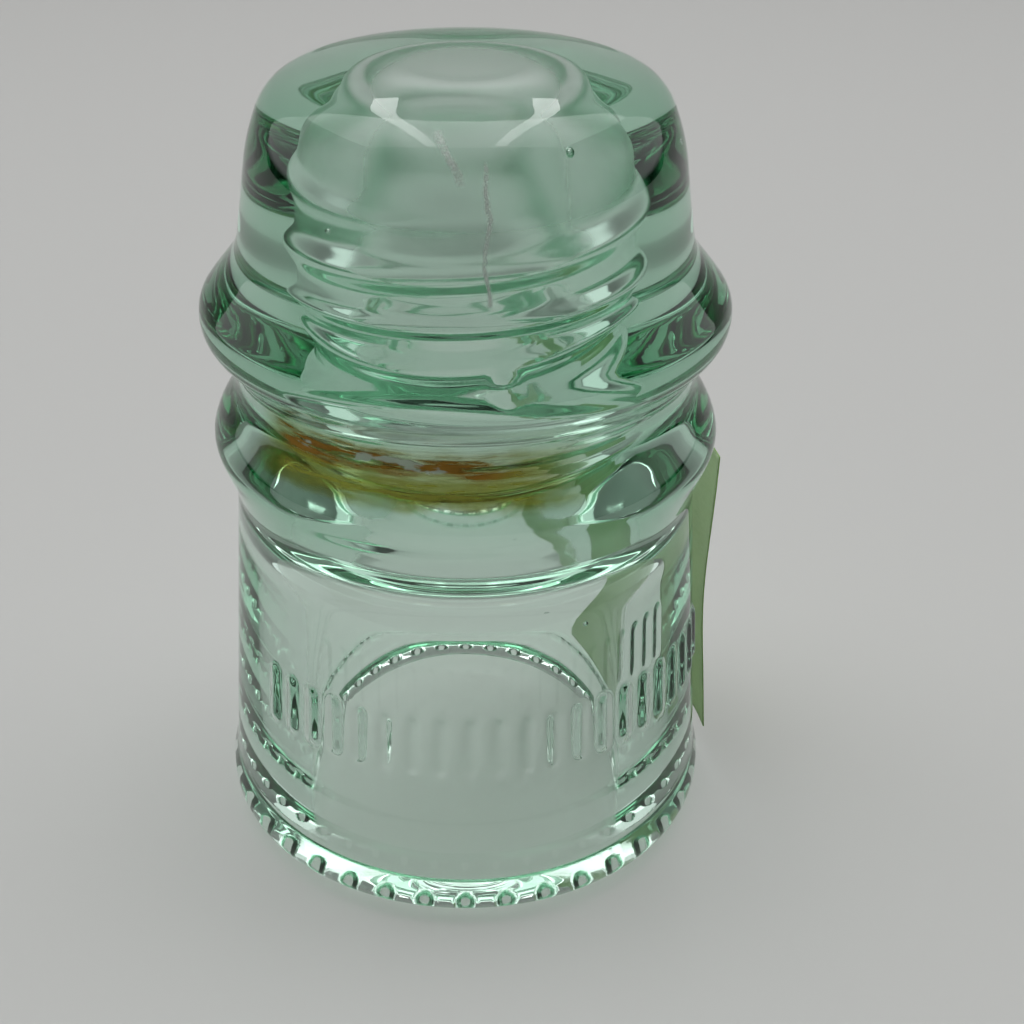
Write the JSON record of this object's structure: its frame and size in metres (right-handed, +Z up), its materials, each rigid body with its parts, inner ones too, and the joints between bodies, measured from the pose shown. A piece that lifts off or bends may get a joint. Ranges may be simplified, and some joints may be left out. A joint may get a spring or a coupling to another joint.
{
  "type": "pin-type glass insulator",
  "caption": "Pressed-glass pin-type line insulator with two ridges, a tie-wire groove, an internal pin thread, drip points round the base and a blank paper label.",
  "frame": {"origin": "centre line of the insulator, on the surface that the drip points stand on", "axes": "+Z up along the centre line; -Y is the front, where the raised marks are; +X is the side that carries the label"},
  "size_m": [0.0579, 0.0572, 0.0883],
  "materials": {
    "aqua_glass": "pressed soda-lime glass, pale aqua green, fire-polished",
    "label_paper": "blank yellow-green price-label paper, matt"
  },
  "bodies": {
    "root": {"insulator_glass": "aqua_glass", "paper_label": "label_paper"}
  },
  "joints": []
}
